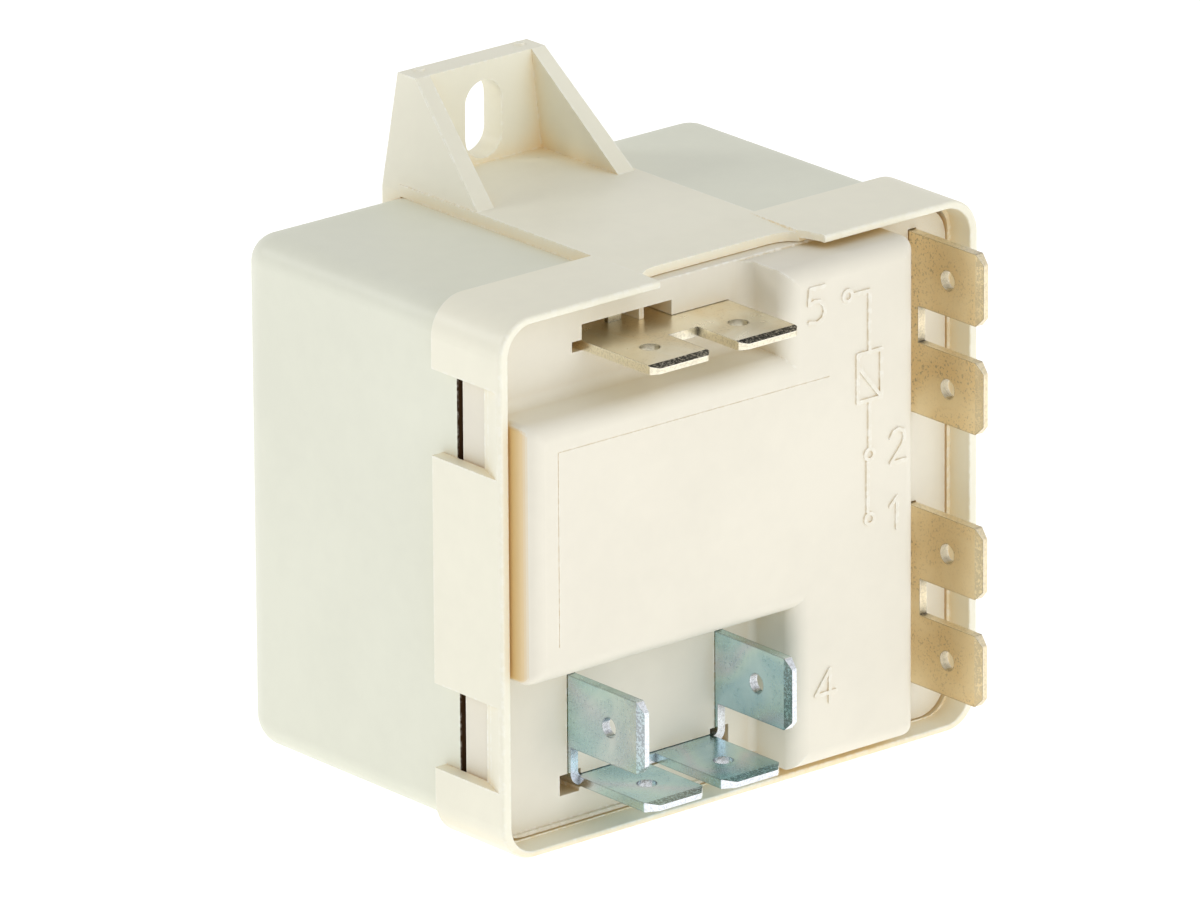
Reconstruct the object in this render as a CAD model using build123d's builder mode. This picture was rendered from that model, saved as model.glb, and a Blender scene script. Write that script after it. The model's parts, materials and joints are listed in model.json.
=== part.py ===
from build123d import *
import os
from math import sin, cos, atan2, radians, degrees

os.makedirs("parts", exist_ok=True)

# ---------------------------------------------------------------------------
# Compressor start relay (potential relay), millimetres.
# +Z is up, the terminals face -Y, the origin is the middle of the footprint
# at the level of the surface that the relay stands on.
# Depths are measured behind the front rim of the mounting frame, then moved
# into this frame by RIM.
# ---------------------------------------------------------------------------

# overall
FRAME_W = 52.1          # mounting frame, outside width
FRAME_H = 47.2          # mounting frame, outside height without the ear
TIP = -6.75             # tab tips, depth in front of the rim
REAR = 36.1             # rear face of the housing
RIM = -(REAR + TIP) / 2.0
EAR_TOP = 56.15         # top of the mounting ear

# mounting frame
BAND_D = 8.9            # depth of the band round the front
BAND_R = 3.3            # outer corner radius of the band
LIP_X, LIP_Z0, LIP_Z1 = 0.9, 0.6, 0.65   # front lip thickness: sides, bottom, top
LIP_D = 2.55            # depth of the lip
ARM_X = 8.85            # half width of the arm over the top
ARM_T = 1.0             # arm thickness
NOTCH_D = 3.7           # depth of the notch in the top of the band
NOTCH_X0, NOTCH_X1 = -8.85, 8.75
EAR_T = 2.4             # ear plate thickness
FOOT_L, FOOT_R = -8.85, 8.55             # feet of the two gussets
EAR_X = 7.05            # ear half width at the top
GUSSET_T = 1.5
GUSSET_Y = 23.7         # where the gussets reach the arm
SLOT_W, SLOT_L, SLOT_X, SLOT_Z = 4.0, 6.9, 0.28, 51.05
WIN_Z = ((6.3, 13.75), (33.65, 41.2))   # latch windows in the sides
WIN_RAMP0, WIN_RAMP1 = 0.5, 3.5

# rear housing
CAN_X = 24.8            # half width
CAN_Z0, CAN_Z1 = 0.75, 46.15
CAN_Y0 = 7.05
CAN_T = 1.4
CAN_R = 2.4
CAN_RR = 3.4            # rear edge rounding

# terminal base
F0 = 2.6                # recessed face
F4 = 2.95               # recessed face behind terminal 4
E1 = -2.5               # raised face
BASE_X = 24.7
BASE_Z0, BASE_Z1 = 0.80, 46.12
BASE_Y1 = 6.4           # back of the outer flange
PLUG_X = 23.2
PLUG_Z0, PLUG_Z1 = 2.35, 44.6
PLUG_Y1 = 9.0
E1_R = 1.5
E1_XL, E1_XR = -24.95, 17.2
E1_TOP, E1_BOT = 45.9, 1.65
BLK_Z0, BLK_Z1 = 15.9, 38.5
PK5_X, PK4_X = 2.7, 3.55
PK5_R, PK4_R = 1.2, 0.65 # hollow corners of the two recesses
MARK_H = 0.16           # height of the raised marks
MARK_W = 0.34

# terminal numbers and the coil and contact symbol, as X and Z of each stroke
MARKS = (
    ((6.75, 44.0), (5.2, 44.0), (5.05, 42.65), (5.6, 42.85), (6.25, 42.75), (6.7, 42.3), (6.8, 41.8), (6.55, 41.2), (5.95, 40.9), (5.1, 41.1)),
    ((14.05, 28.95), (14.35, 29.45), (14.9, 29.6), (15.45, 29.35), (15.6, 28.8), (15.35, 28.2), (14.05, 26.75), (15.75, 26.75)),
    ((14.0, 22.95), (14.75, 23.65), (14.75, 20.85)),
    ((7.3, 7.2), (7.3, 10.1), (5.75, 8.05), (7.95, 8.05)),
    ((9.85, 42.5), (11.7, 42.5), (11.7, 37.1)),
    ((10.4, 37.1), (13.0, 37.1), (13.0, 32.9), (10.4, 32.9), (10.4, 37.1)),
    ((10.4, 36.1), (13.0, 32.9)),
    ((11.7, 32.9), (11.7, 28.8)),
    ((11.5, 27.4), (11.5, 23.1)),
)
MARK_RINGS = ((9.3, 42.55), (11.7, 28.1), (11.7, 22.4))

# quick-connect tabs
TAB_W = 6.35
TAB_T = 0.81
TAB_HOLE = 0.87
TAB_HOLE_Y = 4.37       # hole centre behind the tip
TAB_R = 0.28            # softened corners of the blanks
C5, C21, C4V, C4H = 0.6, 0.85, 0.85, 0.95   # corner chamfers of the tabs
COIN_L, COIN_T = 0.9, 0.17
T5_X = (-12.01, -2.49)
T5_Z = 42.8             # top face
T21_X = 20.54           # left face
T2_Z = (28.61, 38.16)
T1_Z = (4.40, 13.97)
T4_X0, T4_X1 = -16.65, 0.21
T4_Z = 4.75             # top of the floor of the channel
T4_V = 7.48             # bottom of the upright tabs
T4_HX = (-12.6, -4.25)
NECK2, NECK1 = 1.35, 1.1

# magnet system
CX, CY = -6.5, 21.5     # coil axis
PVX, PVZ = 7.1, 36.5    # armature pivot line, along Y
TILT = 5.0              # armature angle with no current
ARM_W0, ARM_TH = 0.25, 1.8   # armature underside above the pivot line, thickness
SPR_X, SPR_R = 10.3, 1.35    # return spring
YOKE_T = 1.8
YOKE_Y0, YOKE_Y1 = 14.0, 29.0
POLE_Z = 36.35
CONT_X = 14.9
CONT_Y = (15.3, 27.7)


def Y(d):
    return RIM + d


def slab(x0, x1, d0, d1, z0, z1, mode=Mode.ADD):
    with Locations(((x0 + x1) / 2, Y((d0 + d1) / 2), (z0 + z1) / 2)):
        Box(x1 - x0, d1 - d0, z1 - z0, mode=mode)


def at_depth(d):
    """Plane at depth d, local x = X, local y = Z, normal toward the front."""
    return Plane.XZ.offset(-Y(d))


def stroke(points):
    """Ridge of even width along a broken line, for a raised mark."""
    for (a, b) in zip(points, points[1:]):
        d = Vector(b[0] - a[0], b[1] - a[1])
        with Locations(Location(((a[0] + b[0]) / 2, (a[1] + b[1]) / 2, 0), (0, 0, degrees(atan2(d.Y, d.X))))):
            SlotCenterToCenter(d.length, MARK_W)


def tab_points(c, tip, neck, cut):
    """Outline of one tab about the width coordinate c, cut off at the corners of the tip."""
    h = TAB_W / 2
    return [(tip, c - h + cut), (tip, c + h - cut), (tip + cut, c + h),
            (neck, c + h), (neck, c - h), (tip + cut, c - h)]


def hollow(d, xc, zc, r, sx, sz, x1, z1):
    """Rounded inside corner against the recessed face at depth d: upright when
    sx is set, along X when sz is set; the arc bulges into the material."""
    if sx:
        with BuildSketch(Plane.XY.offset(zc)) as corner:
            with BuildLine():
                Polyline((xc - sx * r, Y(d)), (xc - sx * r, Y(d + 0.3)), (xc + sx * 0.3, Y(d + 0.3)), (xc + sx * 0.3, Y(d - r)), (xc, Y(d - r)))
                ThreePointArc((xc, Y(d - r)), (xc - sx * r * 0.2929, Y(d - r * 0.2929)), (xc - sx * r, Y(d)))
            make_face()
        extrude(corner.sketch, amount=z1 - zc)
    else:
        with BuildSketch(Plane.YZ.offset(xc)) as corner:
            with BuildLine():
                Polyline((Y(d), zc + sz * r), (Y(d + 0.3), zc + sz * r), (Y(d + 0.3), zc - sz * 0.3), (Y(d - r), zc - sz * 0.3), (Y(d - r), zc))
                ThreePointArc((Y(d - r), zc), (Y(d - r * 0.2929), zc + sz * r * 0.2929), (Y(d), zc + sz * r))
            make_face()
        extrude(corner.sketch, amount=x1 - xc)


# ---------------------------------------------------------------------------
# Rear housing: a five-sided moulded box, open at the front
# ---------------------------------------------------------------------------
with BuildPart() as rear_housing:
    slab(-CAN_X, CAN_X, CAN_Y0, REAR, CAN_Z0, CAN_Z1)
    fillet(rear_housing.faces().sort_by(Axis.Y)[-1].edges(), radius=CAN_RR)
    long = [e for e in rear_housing.edges()
            if abs(abs(e.center().X) - CAN_X) < CAN_RR and min(abs(e.center().Z - CAN_Z0), abs(e.center().Z - CAN_Z1)) < CAN_RR
            and e.center().Y > Y(CAN_Y0) + 0.5 and e.bounding_box().size.Y > 1.0]
    fillet(long, radius=CAN_R)
    with BuildSketch(at_depth(REAR - CAN_T)):
        with Locations((0, (CAN_Z0 + CAN_Z1) / 2)):
            RectangleRounded(2 * (CAN_X - CAN_T), CAN_Z1 - CAN_Z0 - 2 * CAN_T, 1.2)
    extrude(amount=REAR - CAN_T - CAN_Y0, mode=Mode.SUBTRACT)
    # thick seat for the hook of the mounting frame, and its notch
    slab(-10.6, 10.6, 32.3, REAR - 1.0, 43.1, CAN_Z1 - 1.0)
    slab(-ARM_X - 0.1, ARM_X + 0.1, REAR - EAR_T - 0.08, REAR + 1.0, 44.85, CAN_Z1 + 1.0, mode=Mode.SUBTRACT)
    # locating ribs on the side walls and on the rear wall
    for sx in (-1, 1):
        for zc in (11.0, 23.0, 36.0):
            x0, x1 = sorted((sx * (CAN_X - CAN_T + 0.2), sx * (CAN_X - CAN_T - 0.9)))
            slab(x0, x1, 11.0, REAR - 1.0, zc - 0.6, zc + 0.6)
    for xc in (-14.0, 0.0, 14.0):
        slab(xc - 0.6, xc + 0.6, REAR - CAN_T - 0.9, REAR - 1.0, 8.0, 38.0)
rear_housing.part.label = "rear_housing"
export_step(rear_housing.part, "parts/rear_housing.step")

# ---------------------------------------------------------------------------
# Mounting frame: band round the front, arm over the top, slotted ear with
# two gussets, all one moulding
# ---------------------------------------------------------------------------
with BuildPart() as mounting_frame:
    with BuildSketch(at_depth(BAND_D)):
        with Locations((0, FRAME_H / 2)):
            RectangleRounded(FRAME_W, FRAME_H, BAND_R)
    extrude(amount=BAND_D)
    fillet(mounting_frame.faces().sort_by(Axis.Y)[0].edges(), radius=0.3)
    fillet(mounting_frame.faces().sort_by(Axis.Y)[-1].edges(), radius=0.15)
    # bore behind the lip, over the housing and the base flange
    with BuildSketch(at_depth(BAND_D)):
        with Locations((0, (CAN_Z0 + CAN_Z1) / 2)):
            RectangleRounded(2 * CAN_X + 0.1, CAN_Z1 - CAN_Z0 + 0.1, CAN_R)
    extrude(amount=BAND_D - LIP_D, mode=Mode.SUBTRACT)
    # opening inside the lip
    with BuildSketch(at_depth(LIP_D)):
        with Locations((0, (FRAME_H + LIP_Z0 - LIP_Z1) / 2)):
            RectangleRounded(FRAME_W - 2 * LIP_X, FRAME_H - LIP_Z0 - LIP_Z1, 2.6)
    extrude(amount=LIP_D, mode=Mode.SUBTRACT)
    inner = mounting_frame.faces().sort_by(Axis.Y)[0].inner_wires()[0]
    fillet(inner.edges(), radius=0.15)
    # latch windows, open to the back edge, with a ramp at the front end
    for sx in (-1, 1):
        for (z0, z1) in WIN_Z:
            with BuildSketch(Plane.XY.offset(z0)):
                with BuildLine():
                    xi, xo = sx * (CAN_X - 0.3), sx * (FRAME_W / 2 + 1)
                    xs, xc = sx * FRAME_W / 2, sx * (CAN_X + 0.05)
                    xk = xs + (xs - xc) * 0.8
                    Polyline((xi, Y(WIN_RAMP1)), (xc, Y(WIN_RAMP1)), (xk, Y(WIN_RAMP0 - (WIN_RAMP1 - WIN_RAMP0) * 0.8)),
                             (xo + sx, Y(WIN_RAMP0)), (xo + sx, Y(BAND_D + 1)), (xi, Y(BAND_D + 1)), close=True)
                make_face()
            extrude(amount=z1 - z0, mode=Mode.SUBTRACT)
    # arm along the top of the housing
    slab(-ARM_X, ARM_X, BAND_D - 1.0, REAR - EAR_T + 0.2, CAN_Z1, FRAME_H)
    slab(-ARM_X, ARM_X, NOTCH_D + 0.1, BAND_D - 0.9, CAN_Z1, FRAME_H - 0.1)
    # ear plate, tapering to the top, with its hook below
    with BuildSketch(at_depth(REAR)):
        with BuildLine():
            Polyline((-ARM_X, 44.95), (ARM_X, 44.95), (ARM_X, FRAME_H - 0.6), (FOOT_R, FRAME_H + 0.2), (EAR_X, EAR_TOP),
                     (-EAR_X, EAR_TOP), (-ARM_X, FRAME_H - 0.6), close=True)
        make_face()
    extrude(amount=EAR_T)
    # gussets, leaning in with the sides of the ear
    with BuildSketch(at_depth(REAR - 0.5)):
        for (sx, foot) in ((-1, FOOT_L), (1, FOOT_R)):
            with BuildLine():
                Polyline((foot, FRAME_H - 0.6), (sx * EAR_X, EAR_TOP), (sx * (EAR_X - GUSSET_T), EAR_TOP),
                         (foot - sx * (GUSSET_T + 0.35), FRAME_H - 0.6), close=True)
            make_face()
    extrude(amount=REAR - 0.5 - GUSSET_Y)
    with BuildSketch(Plane.YZ.offset(-ARM_X - 1)):
        with BuildLine():
            Polyline((Y(REAR - EAR_T), EAR_TOP + 1), (Y(REAR - EAR_T), EAR_TOP), (Y(GUSSET_Y), FRAME_H),
                     (Y(GUSSET_Y - 1), FRAME_H), (Y(GUSSET_Y - 1), EAR_TOP + 1), close=True)
        make_face()
    extrude(amount=2 * ARM_X + 2, mode=Mode.SUBTRACT)
    # notch in the top of the band, with an S-shaped right end
    with BuildSketch(Plane.XY.offset(FRAME_H - 3.2)):
        with BuildLine():
            l1 = Polyline((NOTCH_X1 + 0.35, Y(-1)), (NOTCH_X0, Y(-1)), (NOTCH_X0, Y(1.6)))
            l2 = Spline(l1 @ 1, (NOTCH_X0 + 0.75, Y(3.1)), (NOTCH_X0 + 3.2, Y(NOTCH_D)), tangents=((0, 1), (1, 0)))
            l3 = Line(l2 @ 1, (NOTCH_X1 - 3.4, Y(NOTCH_D)))
            l4 = Spline(l3 @ 1, (NOTCH_X1 - 0.8, Y(3.1)), (NOTCH_X1 + 0.35, Y(0.6)), tangents=((1, 0), (0.25, -1)))
            l5 = Line(l4 @ 1, l1 @ 0)
        make_face()
    extrude(amount=4.0, mode=Mode.SUBTRACT)
    # shallow dip in the arm behind the notch
    with BuildSketch(Plane.YZ.offset(-8.75)):
        with BuildLine():
            Polyline((Y(-1), FRAME_H + 0.5), (Y(-1), FRAME_H - 0.2), (Y(NOTCH_D), FRAME_H - 0.2), (Y(8.8), FRAME_H), (Y(8.8), FRAME_H + 0.5), close=True)
        make_face()
    extrude(amount=17.1, mode=Mode.SUBTRACT)
    # mounting slot
    with BuildSketch(at_depth(REAR + 1)):
        with Locations((SLOT_X, SLOT_Z)):
            SlotOverall(SLOT_L, SLOT_W, rotation=90)
    extrude(amount=EAR_T + 2, mode=Mode.SUBTRACT)
    # two gate marks on top of the ear
    for xc in (-5.3, 5.6):
        with BuildSketch(Plane.XY.offset(EAR_TOP - 0.05)):
            with Locations((xc, Y(REAR - 0.75))):
                Circle(0.55)
        extrude(amount=0.22, taper=35)
mounting_frame.part.label = "mounting_frame"
export_step(mounting_frame.part, "parts/mounting_frame.step")

# ---------------------------------------------------------------------------
# Terminal base: flange and plug that close the housing, raised front with
# two recesses for terminals 5 and 4, slots for the terminals
# ---------------------------------------------------------------------------
with BuildPart() as terminal_base:
    with BuildSketch(at_depth(BASE_Y1)):
        with Locations((0, (BASE_Z0 + BASE_Z1) / 2)):
            RectangleRounded(2 * BASE_X, BASE_Z1 - BASE_Z0, 2.9)
    extrude(amount=BASE_Y1 - F0)
    fillet(terminal_base.faces().sort_by(Axis.Y)[0].edges(), radius=0.12)
    with BuildSketch(at_depth(PLUG_Y1)):
        with Locations((0, (PLUG_Z0 + PLUG_Z1) / 2)):
            RectangleRounded(2 * PLUG_X, PLUG_Z1 - PLUG_Z0, 1.4)
    extrude(amount=PLUG_Y1 - BASE_Y1 + 0.5)
    with BuildSketch(at_depth(PLUG_Y1)):
        with Locations((0, (PLUG_Z0 + PLUG_Z1) / 2)):
            RectangleRounded(2 * PLUG_X - 3.6, PLUG_Z1 - PLUG_Z0 - 3.6, 1.0)
    extrude(amount=PLUG_Y1 - 5.8, mode=Mode.SUBTRACT)
    # raised front
    with BuildSketch(at_depth(F0 + 0.4)) as raised:
        with BuildLine():
            Polyline((E1_XL, BLK_Z0), (E1_XL, BLK_Z1), (PK5_X, BLK_Z1), (PK5_X, E1_TOP), (E1_XR, E1_TOP),
                     (E1_XR, E1_BOT), (PK4_X, E1_BOT), (PK4_X, BLK_Z0), close=True)
        make_face()
        fillet(raised.vertices().group_by(Axis.X)[-1], radius=0.9)
        fillet(raised.vertices().group_by(Axis.X)[0], radius=0.6)
    extrude(amount=F0 + 0.4 - E1)
    fillet(terminal_base.faces().sort_by(Axis.Y)[0].edges(), radius=E1_R)
    slab(-26.5, -BASE_X, F0 - 0.08, F0 + 0.8, 0.0, 47.0, mode=Mode.SUBTRACT)
    # recess behind terminal 4, a little deeper, and the hollow corners
    slab(E1_XL + 0.2, PK4_X, F0 - 0.5, F4, BASE_Z0 + 0.35, BLK_Z0, mode=Mode.SUBTRACT)
    hollow(F0, PK5_X, BLK_Z1 - 0.2, PK5_R, 1, 0, PK5_X, E1_TOP)
    hollow(F0, E1_XL + 0.65, BLK_Z1, 0.9, 0, 1, PK5_X + 0.2, BLK_Z1)
    hollow(F4, PK4_X, E1_BOT + 0.6, PK4_R, 1, 0, PK4_X, BLK_Z0 + 0.2)
    # cored out behind the raised front, and the space behind terminal 4
    slab(-21.0, 14.6, -0.3, 6.5, BLK_Z0 + 2.2, BLK_Z1 - 2.2, mode=Mode.SUBTRACT)
    slab(-21.0, -17.6, 5.8, 9.4, 2.6, 5.0)
    slab(1.6, 8.8, 5.8, 9.4, 2.6, 5.0)
    slab(-21.0, 8.8, 9.3, 30.0, 2.6, 5.0)
    # slots for the terminals
    slab(T21_X - 0.06, T21_X + TAB_T + 0.06, F0 - 1, PLUG_Y1 + 1, T2_Z[0] - 0.1, T2_Z[1] + TAB_W + 0.1, mode=Mode.SUBTRACT)
    slab(T21_X - 0.06, T21_X + TAB_T + 0.06, F0 - 1, PLUG_Y1 + 1, T1_Z[0] - 0.1, T1_Z[1] + TAB_W + 0.1, mode=Mode.SUBTRACT)
    slab(T21_X - 0.06, T21_X + 0.2, F0 - 1, 5.4, T1_Z[1] + TAB_W, T1_Z[1] + TAB_W + 0.6, mode=Mode.SUBTRACT)
    slab(T4_X0 - 0.9, T4_X0 + 1.2, F0 - 1, PLUG_Y1 + 1, 3.3, 5.1, mode=Mode.SUBTRACT)
    slab(T4_X0 + 1.1, T4_X1 + 0.65, F0 - 1, PLUG_Y1 + 1, 3.6, T4_Z + 0.06, mode=Mode.SUBTRACT)
    slab(T4_X1 - 1.38, T4_X1 + 0.65, F0 - 1, PLUG_Y1 + 1, T4_Z, 5.28, mode=Mode.SUBTRACT)
    slab(T4_X0 + 0.5, T4_X0 + 1.38, F0 - 1, PLUG_Y1 + 1, T4_Z, 5.28, mode=Mode.SUBTRACT)
    slab(T4_X0 - 0.06, T4_X0 + TAB_T + 0.05, F0 - 1, PLUG_Y1 + 1, 5.0, T4_V + TAB_W + 0.06, mode=Mode.SUBTRACT)
    slab(T4_X1 - TAB_T - 0.05, T4_X1 + 0.15, F0 - 1, PLUG_Y1 + 1, 5.0, T4_V + TAB_W + 0.06, mode=Mode.SUBTRACT)
    slab(T5_X[0] - TAB_W / 2 - 0.06, T5_X[1] + TAB_W / 2 + 0.06, F0 - 1, PLUG_Y1 + 1, T5_Z - TAB_T - 0.05, T5_Z + 0.05, mode=Mode.SUBTRACT)
    # wider end and open pocket over the left side of terminal 5
    slab(T5_X[0] - TAB_W / 2 - 1.0, T5_X[0], F0 - 1, 5.2, T5_Z - TAB_T - 0.05, T5_Z + 0.05, mode=Mode.SUBTRACT)
    slab(T5_X[0] - TAB_W / 2 + 0.05, -5.45, F0 - 1, 7.4, T5_Z - 0.1, T5_Z + 1.38, mode=Mode.SUBTRACT)
    slab(-8.2, -7.7, 3.5, 7.6, T5_Z + 0.02, T5_Z + 1.5)
    # countersunk holes under the shelf for the yoke screws
    for xs in (-13.6, 3.2):
        with BuildSketch(Plane.XY.offset(2.5)):
            with Locations((xs, Y(CY))):
                Circle(1.55)
        extrude(amount=3.0, mode=Mode.SUBTRACT)
        with BuildSketch(Plane.XY.offset(2.55)):
            with Locations((xs, Y(CY))):
                Circle(3.2)
        extrude(amount=1.45, taper=45, mode=Mode.SUBTRACT)
    # raised marks: terminal numbers and the coil and contact symbol
    with BuildSketch(at_depth(E1 + 0.05)):
        for line in MARKS:
            stroke(line)
        for (cx, cz) in MARK_RINGS:
            with Locations((cx, cz)):
                Circle(0.62)
        for (cx, cz) in MARK_RINGS:
            with Locations((cx, cz)):
                Circle(0.32, mode=Mode.SUBTRACT)
    extrude(amount=MARK_H + 0.05)
    # insert witness line
    slab(-22.0, 7.35, E1 - 0.5, E1 + 0.05, 35.88, 35.98, mode=Mode.SUBTRACT)
    slab(-22.05, -21.95, E1 - 0.5, E1 + 0.05, 19.0, 35.98, mode=Mode.SUBTRACT)
terminal_base.part.label = "terminal_base"
export_step(terminal_base.part, "parts/terminal_base.step")

# ---------------------------------------------------------------------------
# Terminal 5: horizontal plate with two tabs
# ---------------------------------------------------------------------------
with BuildPart() as terminal_5:
    with BuildSketch(Plane.XY.offset(T5_Z - TAB_T)):
        for c in T5_X:
            with BuildLine():
                FilletPolyline([(b, Y(a)) for (a, b) in tab_points(c, TIP, 0.0, C5)], radius=TAB_R, close=True)
            make_face()
        with Locations(((T5_X[0] + T5_X[1]) / 2, Y((8.8 - 1.0) / 2))):
            Rectangle(T5_X[1] - T5_X[0] + TAB_W, 9.8)
        with Locations((T5_X[0], Y(10.4))):
            Rectangle(4.4, 4.4)
        for c in T5_X:
            with Locations((c, Y(TIP + TAB_HOLE_Y))):
                Circle(TAB_HOLE, mode=Mode.SUBTRACT)
        with Locations((T5_X[0], Y(11.2))):
            Circle(0.6, mode=Mode.SUBTRACT)
    extrude(amount=TAB_T)
    for c in T5_X:
        with BuildSketch(Plane.YZ.offset(c - TAB_W)):
            with BuildLine():
                Polyline((Y(TIP - 0.2), T5_Z - COIN_T * 1.174), (Y(TIP + COIN_L), T5_Z), (Y(TIP - 0.2), T5_Z + 0.5), close=True)
            make_face()
            with BuildLine():
                Polyline((Y(TIP - 0.2), T5_Z - TAB_T + COIN_T * 1.174), (Y(TIP + COIN_L), T5_Z - TAB_T), (Y(TIP - 0.2), T5_Z - TAB_T - 0.5), close=True)
            make_face()
        extrude(amount=2 * TAB_W, mode=Mode.SUBTRACT)
    # stop lance standing up in the pocket of the base
    slab(-10.6, -9.2, 4.6, 5.1, T5_Z - 0.1, T5_Z + 1.0)
terminal_5.part.label = "terminal_5"
export_step(terminal_5.part, "parts/terminal_5.step")

# ---------------------------------------------------------------------------
# Terminals 2 and 1: upright strips with two tabs each; each strip carries
# on behind the base to one fixed contact
# ---------------------------------------------------------------------------
with BuildPart() as terminal_2:
    with BuildSketch(Plane.YZ.offset(T21_X)):
        for z0 in T2_Z:
            with BuildLine():
                FilletPolyline([(Y(a), b) for (a, b) in tab_points(z0 + TAB_W / 2, TIP, 2.2, C21)], radius=TAB_R, close=True)
            make_face()
        with Locations((Y((NECK2 + 18.0) / 2), (T2_Z[0] + T2_Z[1] + TAB_W) / 2)):
            Rectangle(18.0 - NECK2, T2_Z[1] + TAB_W - T2_Z[0])
        with Locations((Y(11.9), T2_Z[0] + 0.5)):
            Rectangle(0.8, 1.4, mode=Mode.SUBTRACT)
        with Locations((Y(13.9), T2_Z[1] + TAB_W - 2.0)):
            Rectangle(9.0, 5.0, mode=Mode.SUBTRACT)
        for z0 in T2_Z:
            with Locations((Y(TIP + TAB_HOLE_Y), z0 + TAB_W / 2)):
                Circle(TAB_HOLE, mode=Mode.SUBTRACT)
    extrude(amount=TAB_T)
    slab(12.4, T21_X + 0.1, 12.3, 18.0, T2_Z[0], T2_Z[0] + TAB_T)
    with BuildSketch(Plane.XY.offset(T2_Z[0] - 1)):
        with Locations((CONT_X, Y(CONT_Y[0]))):
            Circle(1.0)
    extrude(amount=3, mode=Mode.SUBTRACT)
    for z0 in T2_Z:
        with BuildSketch(Plane.XY.offset(z0 - 0.5)):
            with BuildLine():
                Polyline((T21_X + COIN_T * 1.174, Y(TIP - 0.2)), (T21_X, Y(TIP + COIN_L)), (T21_X - 0.5, Y(TIP - 0.2)), close=True)
            make_face()
            with BuildLine():
                Polyline((T21_X + TAB_T - COIN_T * 1.174, Y(TIP - 0.2)), (T21_X + TAB_T, Y(TIP + COIN_L)), (T21_X + TAB_T + 0.5, Y(TIP - 0.2)), close=True)
            make_face()
        extrude(amount=TAB_W + 1, mode=Mode.SUBTRACT)
terminal_2.part.label = "terminal_2"
export_step(terminal_2.part, "parts/terminal_2.step")

with BuildPart() as terminal_1:
    with BuildSketch(Plane.YZ.offset(T21_X)):
        for z0 in T1_Z:
            with BuildLine():
                FilletPolyline([(Y(a), b) for (a, b) in tab_points(z0 + TAB_W / 2, TIP, 2.2, C21)], radius=TAB_R, close=True)
            make_face()
        with Locations((Y((NECK1 + 9.6) / 2), (T1_Z[0] + T1_Z[1] + TAB_W) / 2)):
            Rectangle(9.6 - NECK1, T1_Z[1] + TAB_W - T1_Z[0])
        with Locations((Y((9.0 + 30.6) / 2), 12.0)):
            Rectangle(30.6 - 9.0, 8.0)
        with Locations((Y((24.9 + 30.6) / 2), (8.0 + T2_Z[0] + TAB_T) / 2)):
            Rectangle(30.6 - 24.9, T2_Z[0] + TAB_T - 8.0)
        for z0 in T1_Z:
            with Locations((Y(TIP + TAB_HOLE_Y), z0 + TAB_W / 2)):
                Circle(TAB_HOLE, mode=Mode.SUBTRACT)
    extrude(amount=TAB_T)
    slab(12.4, T21_X + 0.1, 24.9, 30.6, T2_Z[0], T2_Z[0] + TAB_T)
    with BuildSketch(Plane.XY.offset(T2_Z[0] - 1)):
        with Locations((CONT_X, Y(CONT_Y[1]))):
            Circle(1.0)
    extrude(amount=3, mode=Mode.SUBTRACT)
    for z0 in T1_Z:
        with BuildSketch(Plane.XY.offset(z0 - 0.5)):
            with BuildLine():
                Polyline((T21_X + COIN_T * 1.174, Y(TIP - 0.2)), (T21_X, Y(TIP + COIN_L)), (T21_X - 0.5, Y(TIP - 0.2)), close=True)
            make_face()
            with BuildLine():
                Polyline((T21_X + TAB_T - COIN_T * 1.174, Y(TIP - 0.2)), (T21_X + TAB_T, Y(TIP + COIN_L)), (T21_X + TAB_T + 0.5, Y(TIP - 0.2)), close=True)
            make_face()
        extrude(amount=TAB_W + 1, mode=Mode.SUBTRACT)
terminal_1.part.label = "terminal_1"
export_step(terminal_1.part, "parts/terminal_1.step")

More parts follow.
